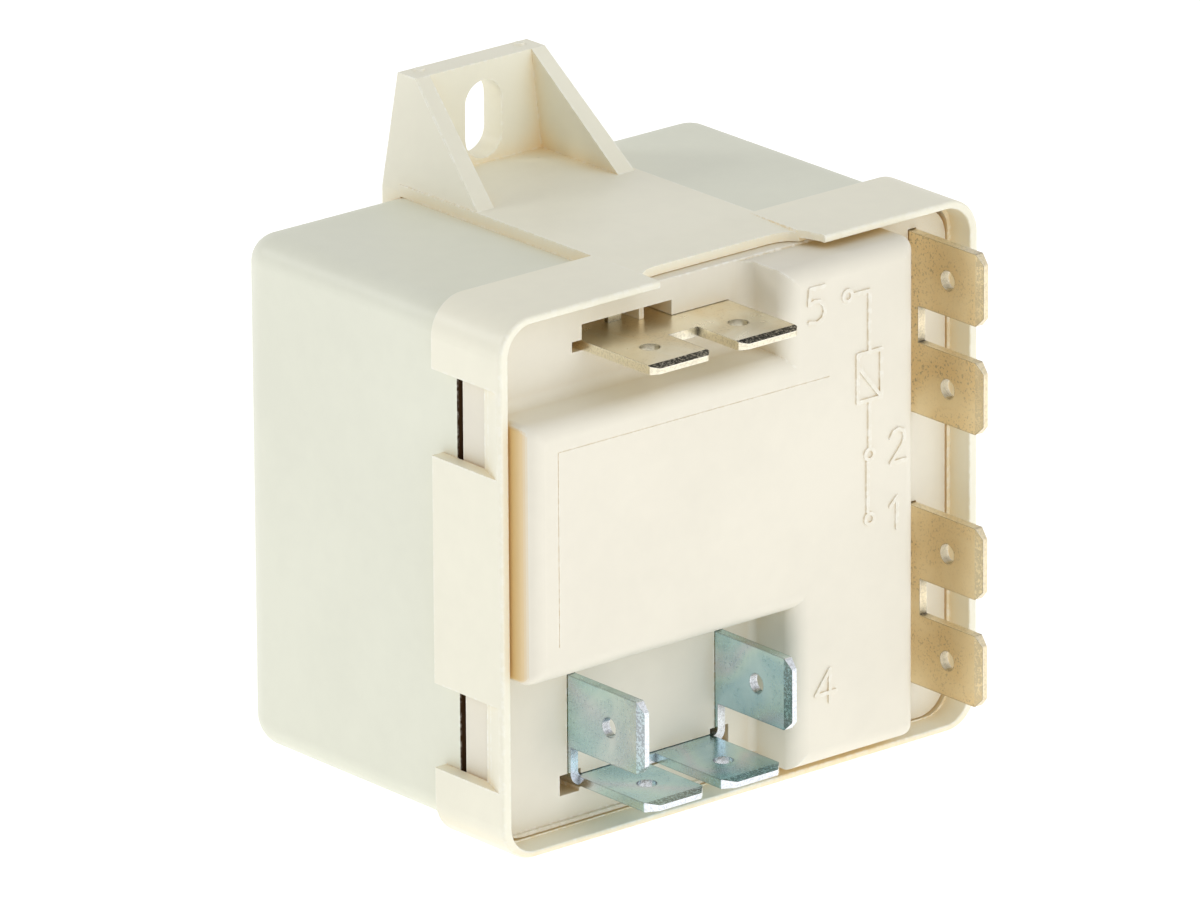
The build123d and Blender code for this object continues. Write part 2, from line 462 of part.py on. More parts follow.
# ---------------------------------------------------------------------------
# Terminal 4: channel with two upright and two level tabs, not connected
# inside
# ---------------------------------------------------------------------------
with BuildPart() as terminal_4:
    with BuildSketch(at_depth(7.6)):
        with BuildLine():
            Polyline((T4_X0, T4_V + TAB_W), (T4_X0, T4_Z - TAB_T), (T4_X1, T4_Z - TAB_T), (T4_X1, T4_V + TAB_W),
                     (T4_X1 - TAB_T, T4_V + TAB_W), (T4_X1 - TAB_T, T4_Z), (T4_X0 + TAB_T, T4_Z), (T4_X0 + TAB_T, T4_V + TAB_W), close=True)
        make_face()
    extrude(amount=7.6 - F0)
    low = terminal_4.edges().filter_by(Axis.Y).filter_by(lambda e: abs(e.center().Z - (T4_Z - TAB_T)) < 0.01)
    fillet(low, radius=1.25)
    inn = terminal_4.edges().filter_by(Axis.Y).filter_by(lambda e: abs(e.center().Z - T4_Z) < 0.01)
    fillet(inn, radius=0.5)
    # level tabs
    with BuildSketch(Plane.XY.offset(T4_Z - TAB_T)):
        for c in T4_HX:
            with BuildLine():
                FilletPolyline([(b, Y(a)) for (a, b) in tab_points(c, TIP, F0 + 1.2, C4H)], radius=TAB_R, close=True)
            make_face()
        for c in T4_HX:
            with Locations((c, Y(TIP + TAB_HOLE_Y))):
                Circle(TAB_HOLE, mode=Mode.SUBTRACT)
    extrude(amount=TAB_T)
    for c in T4_HX:
        with BuildSketch(Plane.YZ.offset(c - TAB_W / 2 - 0.5)):
            with BuildLine():
                Polyline((Y(TIP - 0.2), T4_Z - COIN_T * 1.174), (Y(TIP + COIN_L), T4_Z), (Y(TIP - 0.2), T4_Z + 0.5), close=True)
            make_face()
            with BuildLine():
                Polyline((Y(TIP - 0.2), T4_Z - TAB_T + COIN_T * 1.174), (Y(TIP + COIN_L), T4_Z - TAB_T), (Y(TIP - 0.2), T4_Z - TAB_T - 0.5), close=True)
            make_face()
        extrude(amount=TAB_W + 1, mode=Mode.SUBTRACT)
    # upright tabs
    for x0 in (T4_X0, T4_X1 - TAB_T):
        with BuildSketch(Plane.YZ.offset(x0)):
            with BuildLine():
                FilletPolyline([(Y(a), b) for (a, b) in tab_points(T4_V + TAB_W / 2, TIP, F0 + 1.2, C4V)], radius=TAB_R, close=True)
            make_face()
            with Locations((Y(TIP + TAB_HOLE_Y), T4_V + TAB_W / 2)):
                Circle(TAB_HOLE, mode=Mode.SUBTRACT)
        extrude(amount=TAB_T)
        with BuildSketch(Plane.XY.offset(T4_V - 0.5)):
            with BuildLine():
                Polyline((x0 + COIN_T * 1.174, Y(TIP - 0.2)), (x0, Y(TIP + COIN_L)), (x0 - 0.5, Y(TIP - 0.2)), close=True)
            make_face()
            with BuildLine():
                Polyline((x0 + TAB_T - COIN_T * 1.174, Y(TIP - 0.2)), (x0 + TAB_T, Y(TIP + COIN_L)), (x0 + TAB_T + 0.5, Y(TIP - 0.2)), close=True)
            make_face()
        extrude(amount=TAB_W + 1, mode=Mode.SUBTRACT)
terminal_4.part.label = "terminal_4"
export_step(terminal_4.part, "parts/terminal_4.step")

# ---------------------------------------------------------------------------
# Magnet system
# ---------------------------------------------------------------------------
with BuildPart() as yoke:
    with BuildSketch(Plane.XZ.offset(-Y(YOKE_Y1))) as prof:
        with BuildLine():
            Polyline((-16.4, 5.0), (PVX + 0.9, 5.0), (PVX + 0.9, PVZ), (PVX - 0.9, PVZ), (PVX - 0.9, 5.0 + YOKE_T), (-16.4, 5.0 + YOKE_T), close=True)
        make_face()
        fillet(prof.vertices().sort_by(lambda v: v.X - v.Y)[-1], radius=2.2)
    extrude(amount=YOKE_Y1 - YOKE_Y0)
    # ears that locate the armature
    for (a, b) in ((YOKE_Y0, YOKE_Y0 + 1.7), (YOKE_Y1 - 1.7, YOKE_Y1)):
        slab(PVX - 0.9, PVX + 0.9, a, b, PVZ - 0.2, PVZ + 3.6)
    slab(PVX - 0.55, PVX + 0.55, YOKE_Y0 - 1, YOKE_Y1 + 1, PVZ + 2.4, PVZ + 2.85, mode=Mode.SUBTRACT)
    # tongue for the return spring
    slab(PVX + 0.5, 12.9, CY - 1.1, CY + 1.1, 22.4, 23.2)
    with BuildSketch(Plane.XY.offset(22.0)):
        with Locations((10.3 + 1.35, Y(CY))):
            Circle(0.35)
    extrude(amount=2.0, mode=Mode.SUBTRACT)
    # hole for the staked end of the core, and two tapped holes
    with BuildSketch(Plane.XY.offset(4.0)):
        with Locations((CX, Y(CY))):
            Circle(3.0)
        with Locations((-13.6, Y(CY)), (3.2, Y(CY))):
            Circle(1.25)
    extrude(amount=3.5, mode=Mode.SUBTRACT)
yoke.part.label = "yoke"
export_step(yoke.part, "parts/yoke.step")

with BuildPart() as core:
    with BuildSketch(Plane.XY.offset(5.0)):
        with Locations((CX, Y(CY))):
            Circle(3.0)
    extrude(amount=1.9)
    with BuildSketch(Plane.XY.offset(5.0 + YOKE_T)):
        with Locations((CX, Y(CY))):
            Circle(4.0)
    extrude(amount=35.1 - 5.0 - YOKE_T)
    with BuildSketch(Plane.XY.offset(35.05)):
        with Locations((CX, Y(CY))):
            Circle(5.6)
    extrude(amount=POLE_Z - 35.05)
    chamfer(core.edges().group_by(Axis.Z)[-1], length=0.25)
core.part.label = "core"
export_step(core.part, "parts/core.step")

with BuildPart() as bobbin:
    with BuildSketch(Plane.XY.offset(6.9)):
        with Locations((CX, Y(CY))):
            Circle(5.3)
    extrude(amount=35.0 - 6.9)
    for z0 in (6.9, 33.6):
        with BuildSketch(Plane.XY.offset(z0)):
            with Locations((CX, Y(CY))):
                RectangleRounded(22.0, 22.0, 7.5)
        extrude(amount=1.4)
    # terminal block with two pin seats
    slab(-21.0, -17.2, CY - 5.0, CY + 5.0, 33.0, 35.6)
    with BuildSketch(Plane.XY.offset(6.0)):
        with Locations((CX, Y(CY))):
            Circle(4.05)
    extrude(amount=30.0, mode=Mode.SUBTRACT)
    with BuildSketch(Plane.XY.offset(32.0)):
        with Locations((-19.2, Y(CY - 3.2)), (-19.2, Y(CY + 3.2))):
            Circle(0.45)
    extrude(amount=5.0, mode=Mode.SUBTRACT)
bobbin.part.label = "bobbin"
export_step(bobbin.part, "parts/bobbin.step")

with BuildPart() as coil_winding:
    with BuildSketch(Plane.XY.offset(8.3)):
        with Locations((CX, Y(CY))):
            Circle(10.2)
            Circle(5.3, mode=Mode.SUBTRACT)
    extrude(amount=33.6 - 8.3)
coil_winding.part.label = "coil_winding"
export_step(coil_winding.part, "parts/coil_winding.step")

with BuildPart() as coil_tape:
    with BuildSketch(Plane.XY.offset(8.9)):
        with Locations((CX, Y(CY))):
            Circle(10.55)
            Circle(10.2, mode=Mode.SUBTRACT)
    extrude(amount=24.1)
coil_tape.part.label = "coil_tape"
export_step(coil_tape.part, "parts/coil_tape.step")

with BuildPart() as bobbin_pins:
    with BuildSketch(Plane.XY.offset(31.4)):
        with Locations((-19.2, Y(CY - 3.2)), (-19.2, Y(CY + 3.2))):
            Circle(0.45)
    extrude(amount=6.8)
bobbin_pins.part.label = "bobbin_pins"
export_step(bobbin_pins.part, "parts/bobbin_pins.step")

with BuildPart() as frame_screws:
    for xs in (-13.6, 3.2):
        with BuildSketch(Plane.XY.offset(2.7)):
            with Locations((xs, Y(CY))):
                Circle(2.6)
        extrude(amount=1.3, taper=42)
        with BuildSketch(Plane.XY.offset(2.9)):
            with Locations((xs, Y(CY))):
                Circle(1.25)
        extrude(amount=3.8)
        slab(xs - 1.9, xs + 1.9, CY - 0.3, CY + 0.3, 2.6, 3.2, mode=Mode.SUBTRACT)
frame_screws.part.label = "frame_screws"
export_step(frame_screws.part, "parts/frame_screws.step")

# armature and what moves with it, drawn with no current: the pole end stands
# up by TILT about the pivot line
arm_plane = Plane(origin=(PVX, Y(CY), PVZ), x_dir=(cos(radians(TILT)), 0, -sin(radians(TILT))),
                  z_dir=(sin(radians(TILT)), 0, cos(radians(TILT))))
HOOK_U = (SPR_X + SPR_R - PVX - 1.0 * sin(radians(TILT))) / cos(radians(TILT))
with BuildPart() as armature:
    with BuildSketch(arm_plane.offset(ARM_W0)) as blank:
        with Locations(((-19.8 + 5.4) / 2, 0)):
            Rectangle(25.2, YOKE_Y1 - YOKE_Y0)
        for s in (-1, 1):
            with Locations((0, s * ((YOKE_Y1 - YOKE_Y0) / 2 - 0.4))):
                Rectangle(2.8, 3.2, mode=Mode.SUBTRACT)
        with Locations((3.2, -3.3), (3.2, 3.3)):
            Circle(0.85, mode=Mode.SUBTRACT)
        with Locations((HOOK_U, 0)):
            Circle(0.5, mode=Mode.SUBTRACT)
        fillet(blank.vertices().group_by(Axis.X)[0], radius=2.0)
    extrude(amount=ARM_TH)
armature.part.label = "armature"
export_step(armature.part, "parts/armature.step")

with BuildPart() as residual_shim:
    with BuildSketch(arm_plane.offset(ARM_W0 - 0.15)):
        with Locations((-13.65, 0)):
            RectangleRounded(11.6, 11.6, 2.0)
    extrude(amount=0.15)
residual_shim.part.label = "residual_shim"
export_step(residual_shim.part, "parts/residual_shim.step")

with BuildPart() as armature_retainer:
    slab(PVX - 0.5, PVX + 0.5, YOKE_Y0 - 0.9, YOKE_Y1 + 0.9, PVZ + 2.45, PVZ + 2.8)
    for d in (YOKE_Y0 - 0.9, YOKE_Y1 + 0.55):
        slab(PVX - 0.5, PVX + 0.5, d, d + 0.35, PVZ + 1.7, PVZ + 2.8)
armature_retainer.part.label = "armature_retainer"
export_step(armature_retainer.part, "parts/armature_retainer.step")


def on_arm(u, w):
    """Point of the tilted armature frame as X and Z."""
    a = radians(TILT)
    return (PVX + u * cos(a) + w * sin(a), PVZ - u * sin(a) + w * cos(a))


with BuildPart() as contact_carrier:
    pa, pb = on_arm(1.9, ARM_W0 + ARM_TH), on_arm(5.45, ARM_W0 + ARM_TH)
    with BuildSketch(at_depth(CY + 4.8)):
        with BuildLine():
            Polyline(pa, pb, (pb[0] + 0.1, 35.3), (17.5, 35.3), (17.5, 38.9), (16.9, 39.5), (pa[0] + 0.6, 40.3), (pa[0], 39.7), close=True)
        make_face()
    extrude(amount=9.6)
    with BuildSketch(Plane.XY.offset(30.0)):
        with Locations((CONT_X, Y(CY))):
            Circle(1.5)
    extrude(amount=6.0)
    with BuildSketch(Plane.XY.offset(31.0)):
        with Locations((CONT_X, Y(CY))):
            Circle(2.2)
    extrude(amount=-1.4, taper=22)
    for v in (-3.3, 3.3):
        with BuildSketch(arm_plane.offset(1.0)):
            with Locations((3.2, v)):
                Circle(0.85)
        extrude(amount=6.0, mode=Mode.SUBTRACT)
contact_carrier.part.label = "contact_carrier"
export_step(contact_carrier.part, "parts/contact_carrier.step")

with BuildPart() as carrier_rivets:
    for v in (-3.3, 3.3):
        with BuildSketch(arm_plane.offset(ARM_W0 - 0.7)):
            with Locations((3.2, v)):
                Circle(1.5)
        extrude(amount=0.7)
        with BuildSketch(arm_plane.offset(ARM_W0 - 0.1)):
            with Locations((3.2, v)):
                Circle(0.8)
        extrude(amount=4.2)
carrier_rivets.part.label = "carrier_rivets"
export_step(carrier_rivets.part, "parts/carrier_rivets.step")

with BuildPart() as contact_bridge:
    with BuildSketch(Plane.XY.offset(31.4)):
        with Locations((CONT_X, Y(CY))):
            RectangleRounded(5.0, 17.2, 1.6)
            Circle(1.62, mode=Mode.SUBTRACT)
        with Locations((CONT_X, Y(CONT_Y[0])), (CONT_X, Y(CONT_Y[1]))):
            Circle(0.9, mode=Mode.SUBTRACT)
    extrude(amount=0.6)
contact_bridge.part.label = "contact_bridge"
export_step(contact_bridge.part, "parts/contact_bridge.step")

with BuildPart() as moving_contacts:
    for d in CONT_Y:
        with BuildSketch(Plane.XY.offset(30.5)):
            with Locations((CONT_X, Y(d))):
                Circle(1.8)
        extrude(amount=0.9)
        with BuildSketch(Plane.XY.offset(31.3)):
            with Locations((CONT_X, Y(d))):
                Circle(0.9)
        extrude(amount=0.7)
        with BuildSketch(Plane.XY.offset(32.0)):
            with Locations((CONT_X, Y(d))):
                Circle(1.3)
        extrude(amount=0.3)
moving_contacts.part.label = "moving_contacts"
export_step(moving_contacts.part, "parts/moving_contacts.step")

for (name, d) in (("fixed_contact_2", CONT_Y[0]), ("fixed_contact_1", CONT_Y[1])):
    with BuildPart() as button:
        with BuildSketch(Plane.XY.offset(T2_Z[0] + TAB_T)):
            with Locations((CONT_X, Y(d))):
                Circle(2.0)
        extrude(amount=30.4 - T2_Z[0] - TAB_T)
        with BuildSketch(Plane.XY.offset(T2_Z[0])):
            with Locations((CONT_X, Y(d))):
                Circle(1.0)
        extrude(amount=TAB_T)
        with BuildSketch(Plane.XY.offset(T2_Z[0] - 0.4)):
            with Locations((CONT_X, Y(d))):
                Circle(1.5)
        extrude(amount=0.4)
    button.part.label = name
    export_step(button.part, "parts/" + name + ".step")

# return spring: pulls the tail of the armature down, so that the contacts
# rest closed
with BuildPart() as return_spring:
    with BuildLine() as coil_line:
        Helix(pitch=0.95, height=10.45, radius=SPR_R, center=(SPR_X, Y(CY), 24.3))
    with BuildSketch(Plane(origin=coil_line.line @ 0, z_dir=coil_line.line % 0)):
        Circle(0.2)
    sweep(is_frenet=True)
    for (z0, z1) in ((22.2, 24.42), (34.62, 37.6)):
        with BuildSketch(Plane.XY.offset(z0)):
            with Locations((SPR_X + SPR_R, Y(CY))):
                Circle(0.21)
        extrude(amount=z1 - z0)
return_spring.part.label = "return_spring"
export_step(return_spring.part, "parts/return_spring.step")

with BuildPart() as contact_spring:
    with BuildLine() as press_line:
        Helix(pitch=0.8, height=2.8, radius=2.05, center=(CONT_X, Y(CY), 32.2))
    with BuildSketch(Plane(origin=press_line.line @ 0, z_dir=press_line.line % 0)):
        Circle(0.17)
    sweep(is_frenet=True)
contact_spring.part.label = "contact_spring"
export_step(contact_spring.part, "parts/contact_spring.step")

# coil leads: insulated wire from the two pins to terminals 5 and 2
LEAD_R = 0.6
with BuildPart() as lead_5:
    with BuildLine() as route_5:
        FilletPolyline((T5_X[0], Y(12.65), T5_Z - 0.4), (T5_X[0], Y(14.6), T5_Z - 0.4), (-16.2, Y(16.6), 42.2),
                       (-19.2, Y(CY - 3.2), 41.2), (-19.2, Y(CY - 3.2), 38.25), radius=1.2)
    with BuildSketch(Plane(origin=route_5.line @ 0, z_dir=route_5.line % 0)):
        Circle(LEAD_R)
    sweep()
lead_5.part.label = "lead_5"
export_step(lead_5.part, "parts/lead_5.step")

with BuildPart() as lead_2:
    with BuildLine() as route_2:
        FilletPolyline((-19.2, Y(CY + 3.2), 38.25), (-19.2, Y(CY + 3.2), 41.4), (-18.0, Y(29.4), 42.6), (-12.0, Y(32.0), 42.3),
                       (14.0, Y(32.0), 41.2), (19.0, Y(29.4), 38.4), (T21_X - LEAD_R - 0.02, Y(23.0), 36.4), (T21_X - LEAD_R - 0.02, Y(15.5), 35.2), radius=2.0)
    with BuildSketch(Plane(origin=route_2.line @ 0, z_dir=route_2.line % 0)):
        Circle(LEAD_R)
    sweep()
lead_2.part.label = "lead_2"
export_step(lead_2.part, "parts/lead_2.step")
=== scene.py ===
import bpy
import json
import math
from mathutils import Vector, Matrix

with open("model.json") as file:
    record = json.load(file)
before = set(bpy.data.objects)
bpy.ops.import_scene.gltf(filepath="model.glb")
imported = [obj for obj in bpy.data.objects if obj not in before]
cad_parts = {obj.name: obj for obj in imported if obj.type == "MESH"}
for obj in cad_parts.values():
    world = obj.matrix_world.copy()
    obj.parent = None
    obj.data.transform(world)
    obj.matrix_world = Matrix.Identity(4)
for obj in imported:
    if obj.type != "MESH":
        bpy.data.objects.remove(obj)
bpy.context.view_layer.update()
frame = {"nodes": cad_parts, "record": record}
NODES = frame["nodes"]


scene = bpy.context.scene
MM = 0.001
RIM = -14.675           # the front rim's place along Y, in mm


# --------------------------------------------------------------------------
# node helpers
# --------------------------------------------------------------------------
class Tree:
    """A small wrapper that adds nodes to a tree and links their inputs."""

    def __init__(self, tree):
        self.t = tree
        tree.nodes.clear()
        self.x = 0

    def add(self, kind, ins=None, **props):
        n = self.t.nodes.new(kind)
        n.location = (self.x, 0)
        self.x += 180
        for k, v in props.items():
            setattr(n, k, v)
        for k, v in (ins or {}).items():
            s = n.inputs[k]
            if isinstance(v, bpy.types.NodeSocket):
                self.t.links.new(v, s)
            else:
                s.default_value = v
        return n

    def link(self, a, b):
        self.t.links.new(a, b)

    def math(self, op, a, b=0.0, clamp=False):
        return self.add("ShaderNodeMath", {0: a, 1: b}, operation=op, use_clamp=clamp).outputs[0]

    def mix(self, f, a, b, blend="MIX"):
        n = self.t.nodes.new("ShaderNodeMix")
        n.data_type = "RGBA"
        n.blend_type = blend
        n.clamp_factor = True
        n.location = (self.x, -200)
        self.x += 180
        for s, v in ((n.inputs[0], f), (n.inputs[6], a), (n.inputs[7], b)):
            if isinstance(v, bpy.types.NodeSocket):
                self.t.links.new(v, s)
            else:
                s.default_value = v
        return n.outputs[2]

    def ramp(self, f, stops):
        n = self.t.nodes.new("ShaderNodeValToRGB")
        n.location = (self.x, 200)
        self.x += 240
        cr = n.color_ramp
        while len(cr.elements) > 1:
            cr.elements.remove(cr.elements[0])
        first = True
        for pos, col in stops:
            c = col if isinstance(col, tuple) else (col, col, col, 1)
            if first:
                e = cr.elements[0]
                e.position = pos
                first = False
            else:
                e = cr.elements.new(pos)
            e.color = c
        self.t.links.new(f, n.inputs[0])
        return n.outputs[0]

    def noise(self, co, scale, detail=3.0, rough=0.5, dist=0.0):
        return self.add("ShaderNodeTexNoise", {"Vector": co, "Scale": scale, "Detail": detail, "Roughness": rough, "Distortion": dist}).outputs["Fac"]


def lin(r, g, b):
    def f(v):
        v /= 255.0
        return v / 12.92 if v <= 0.04045 else ((v + 0.055) / 1.055) ** 2.4
    return (f(r), f(g), f(b), 1.0)


def new_mat(name):
    m = bpy.data.materials.new(name)
    m.use_nodes = True
    return m, Tree(m.node_tree)


def plastic(name, base, gap_shade_col, seed=0.0, rough=0.36, grain=1.0, speck=0.35, glow=0.045, wall=0.0, rim_painted_shade=False, spread=((0.04, 0.95), (0.24, 0.62), (0.40, 0.10), (0.56, 0.0))):
    """Moulded cream thermoplastic: faint flow mottling, satin grain, fine dark specks, painted gold shade and a faint
    painted glow in narrow gaps and recesses, rubbed speckled edges with a painted edge highlight.
    """
    m, t = new_mat(name)
    tc = t.add("ShaderNodeTexCoord").outputs["Object"]
    co = t.add("ShaderNodeMapping", {"Vector": tc, "Location": (seed, seed * 1.7, -seed)}).outputs[0]
    big = t.noise(co, 60.0, 1.0, 0.5, 0.5)
    mid = t.noise(co, 520.0, 2.0, 0.6)
    tone = t.math("ADD", t.math("MULTIPLY", big, 0.65), t.math("MULTIPLY", mid, 0.35))
    lo = tuple(c * 0.972 for c in base[:3]) + (1,)
    hi = tuple(min(1.0, c * 1.015) for c in base[:3]) + (1,)
    col = t.mix(t.ramp(tone, ((0.36, 0.0), (0.64, 1.0))), lo, hi)
    # painted shade: narrow gaps and recesses, found by ambient occlusion and left off faces that point steeply down,
    # are tinted gold
    ao = t.add("ShaderNodeAmbientOcclusion", {"Distance": 0.0030}, samples=3).outputs["AO"]
    nz = t.add("ShaderNodeSeparateXYZ", {0: t.add("ShaderNodeNewGeometry").outputs["True Normal"]}).outputs[2]
    painted_gap_shade = t.math("MULTIPLY", t.ramp(ao, spread), t.ramp(t.math("ADD", t.math("MULTIPLY", nz, 0.5), 0.5), ((0.20, 0.0), (0.34, 1.0))))
    if wall:
        # painted shade: the thin left wall of the raised face tinted gold, strongest just behind the rim and fading
        # towards the front; it also takes the painted glow below
        tn = t.add("ShaderNodeNewGeometry")
        nx = t.add("ShaderNodeSeparateXYZ", {0: tn.outputs["True Normal"]}).outputs[0]
        px = t.add("ShaderNodeSeparateXYZ", {0: tn.outputs["Position"]}).outputs[0]
        py = t.add("ShaderNodeSeparateXYZ", {0: tn.outputs["Position"]}).outputs[1]
        wall_shade_mask = t.math("MULTIPLY", t.ramp(t.math("MULTIPLY", nx, -1.0), ((0.80, 0.0), (0.98, 1.0))), t.ramp(t.math("MULTIPLY", px, -20.0), ((0.484, 0.0), (0.490, 1.0))))
        wall_shade_mask = t.math("MULTIPLY", wall_shade_mask, t.ramp(t.math("MULTIPLY", py, -20.0), ((0.278, 0.0), (0.286, 1.0), (0.300, 0.9), (0.325, 0.65))))
        painted_gap_shade = t.math("MAXIMUM", painted_gap_shade, t.math("MULTIPLY", wall_shade_mask, wall))
    # the painted gold shade is mixed into the colour here
    col = t.mix(painted_gap_shade, col, gap_shade_col)
    if rim_painted_shade:
        # painted shade: the front-facing rim of the box, in the dark behind the band, coloured near black
        iy = t.add("ShaderNodeSeparateXYZ", {0: t.add("ShaderNodeNewGeometry").outputs["True Normal"]}).outputs[1]
        col = t.mix(t.ramp(t.math("MULTIPLY", iy, -1.0), ((0.90, 0.0), (0.97, 1.0))), col, (0.05, 0.022, 0.008, 1))
    # worn edges with a painted highlight: the rounded edges lightened in speckles, part rubbed plastic, part painted
    # edge highlight, and made rougher
    geo = t.add("ShaderNodeNewGeometry")
    bev = t.add("ShaderNodeBevel", {"Radius": 0.00035}, samples=2).outputs[0]
    dot = t.add("ShaderNodeVectorMath", {0: bev, 1: geo.outputs["Normal"]}, operation="DOT_PRODUCT").outputs["Value"]
    edge = t.ramp(dot, ((0.90, 1.0), (0.985, 0.0)))
    chip = t.ramp(t.noise(co, 1700.0, 1.0, 0.7), ((0.44, 0.0), (0.60, 1.0)))
    wear_and_highlight = t.math("MULTIPLY", edge, chip)
    col = t.mix(t.math("MULTIPLY", wear_and_highlight, 0.75), col, (0.97, 0.97, 0.93, 1))
    # a few fine dark specks in the plastic
    vor = t.add("ShaderNodeTexVoronoi", {"Vector": co, "Scale": 120.0}, feature="F1")
    dots = t.ramp(vor.outputs["Distance"], ((0.013, 1.0), (0.022, 0.0)))
    pick = t.ramp(big, ((0.53, 0.0), (0.58, 1.0)))
    col = t.mix(t.math("MULTIPLY", t.math("MULTIPLY", dots, pick), speck), col, (0.26, 0.22, 0.15, 1))
    r = t.math("ADD", t.math("MULTIPLY", mid, 0.10), rough - 0.05)
    r = t.math("ADD", r, t.math("MULTIPLY", wear_and_highlight, 0.12))
    h = t.math("ADD", t.math("MULTIPLY", mid, 0.8), t.math("MULTIPLY", big, 2.0))
    h = t.math("SUBTRACT", h, t.math("MULTIPLY", t.math("MULTIPLY", edge, t.math("SUBTRACT", 1.0, chip)), 0.8))
    bump = t.add("ShaderNodeBump", {"Strength": 0.4, "Distance": 0.00003 * grain, "Height": h}).outputs[0]
    ins = {"Base Color": col, "Roughness": r, "Normal": bump, "IOR": 1.46, "Specular IOR Level": 0.4}
    # painted glow: the same gaps and recesses give off a faint gold light of their own
    if glow:
        ins["Emission Color"] = (0.95, 0.74, 0.40, 1)
        ins["Emission Strength"] = t.math("MULTIPLY", painted_gap_shade, glow)
    p = t.add("ShaderNodeBsdfPrincipled", ins)
    out = t.add("ShaderNodeOutputMaterial")
    t.link(p.outputs[0], out.inputs[0])
    return m


def sheet_metal(name, base, tint, cut_col, axes, seed=0.0, rough=0.24, stretch=(1.0, 0.08, 1.0), specks=0.5, iris=0.0, coin_painted_reflection=0.0):
    """Plated strip: fine rolling lines, cloudy tint and specks on the rolled
    faces (those that face along axes), bright pitted metal on the sheared
    edges, a darker line where the two meet, a painted highlight along the
    sheared edges, painted dark reflection on the coined bevels and painted
    shade on sheared faces in hollows."""
    m, t = new_mat(name)
    tex = t.add("ShaderNodeTexCoord")
    co = t.add("ShaderNodeMapping", {"Vector": tex.outputs["Object"], "Location": (seed, -seed, seed * 0.6)}).outputs[0]
    nor = t.add("ShaderNodeSeparateXYZ", {0: tex.outputs["Normal"]})
    face = None
    for a in axes:
        v = t.math("ABSOLUTE", nor.outputs["XYZ".index(a)])
        face = v if face is None else t.math("MAXIMUM", face, v)
    rolled = t.ramp(face, ((0.93, 0.0), (0.965, 1.0)))
    coined = t.math("MULTIPLY", rolled, t.ramp(face, ((0.984, 1.0), (0.992, 0.0))))
    cloud = t.noise(co, 170.0, 3.0, 0.6, 0.8)
    col = t.mix(t.ramp(cloud, ((0.35, 0.0), (0.65, 1.0))), base, tint)
    if iris:
        hue = t.ramp(t.noise(co, 70.0, 1.0, 0.5, 0.9), ((0.30, (0.50, 0.74, 0.80, 1)), (0.42, (0.74, 0.90, 0.88, 1)), (0.52, (0.95, 0.84, 0.90, 1)), (0.60, (0.80, 0.92, 0.86, 1)), (0.70, (0.56, 0.76, 0.84, 1))))
        col = t.mix(iris, col, hue, "MULTIPLY")
    grit = t.noise(co, 4200.0, 2.0, 0.75)
    spk = t.ramp(grit, ((0.55, 0.0), (0.64, 1.0)))
    patch = t.ramp(cloud, ((0.42, 0.15), (0.62, 1.0)))
    spk = t.math("MULTIPLY", spk, patch)
    col = t.mix(t.math("MULTIPLY", spk, specks), col, tuple(c * 0.55 for c in base[:3]) + (1,))
    # coined bevels: speckled darkening towards near black, a painted dark reflection
    pit = t.ramp(grit, ((0.50, 1.0), (0.60, 0.0)))
    col = t.mix(t.math("MULTIPLY", coined, t.math("MULTIPLY", pit, 0.35 + 0.6 * coin_painted_reflection)), col, (0.10, 0.09, 0.07, 1))
    # sheared edges
    streak = t.noise(co, 5200.0, 2.0, 0.7)
    cut = t.mix(t.ramp(streak, ((0.40, 0.0), (0.52, 1.0))), tuple(c * 0.82 for c in cut_col[:3]) + (1,), cut_col)
    col = t.mix(rolled, cut, col)
    line_co = t.add("ShaderNodeMapping", {"Vector": co, "Scale": stretch}).outputs[0]
    scr = t.noise(line_co, 1500.0, 3.0, 0.75)
    geo = t.add("ShaderNodeNewGeometry")
    bev = t.add("ShaderNodeBevel", {"Radius": 0.00018}, samples=2).outputs[0]
    dot = t.add("ShaderNodeVectorMath", {0: bev, 1: geo.outputs["Normal"]}, operation="DOT_PRODUCT").outputs["Value"]
    edge = t.ramp(dot, ((0.78, 1.0), (0.96, 0.0)))
    # a dark line along the rims of the rolled faces
    col = t.mix(t.math("MULTIPLY", t.math("MULTIPLY", edge, rolled), 0.85), col, tuple(c * 0.16 for c in base[:3]) + (1,))
    # painted highlight: a near-white line along the edges of the sheared faces
    col = t.mix(t.math("MULTIPLY", t.math("MULTIPLY", edge, t.math("SUBTRACT", 1.0, rolled)), 0.6), col, (0.98, 0.98, 0.97, 1))
    # painted shade: sheared faces and hole bores darkened towards near black where they are hemmed in
    ao = t.add("ShaderNodeAmbientOcclusion", {"Distance": 0.0015}, samples=2, only_local=True).outputs["AO"]
    col = t.mix(t.math("MULTIPLY", t.math("SUBTRACT", 1.0, rolled), t.ramp(ao, ((0.52, 0.90), (0.94, 0.0)))), col, (0.05, 0.045, 0.035, 1))
    r = t.math("ADD", rough, t.math("MULTIPLY", t.math("SUBTRACT", cloud, 0.5), 0.16))
    r = t.math("ADD", r, t.math("MULTIPLY", spk, 0.18), clamp=True)
    h = t.math("ADD", t.math("MULTIPLY", scr, 0.9), t.math("MULTIPLY", grit, 0.5))
    h = t.math("ADD", h, t.math("MULTIPLY", t.math("MULTIPLY", streak, t.math("SUBTRACT", 1.0, rolled)), 0.15))
    bump = t.add("ShaderNodeBump", {"Strength": 0.5, "Distance": 0.000018, "Height": h}).outputs[0]
    p = t.add("ShaderNodeBsdfPrincipled", {"Base Color": col, "Roughness": r, "Normal": bump, "Metallic": 1.0})
    out = t.add("ShaderNodeOutputMaterial")
    t.link(p.outputs[0], out.inputs[0])
    return m


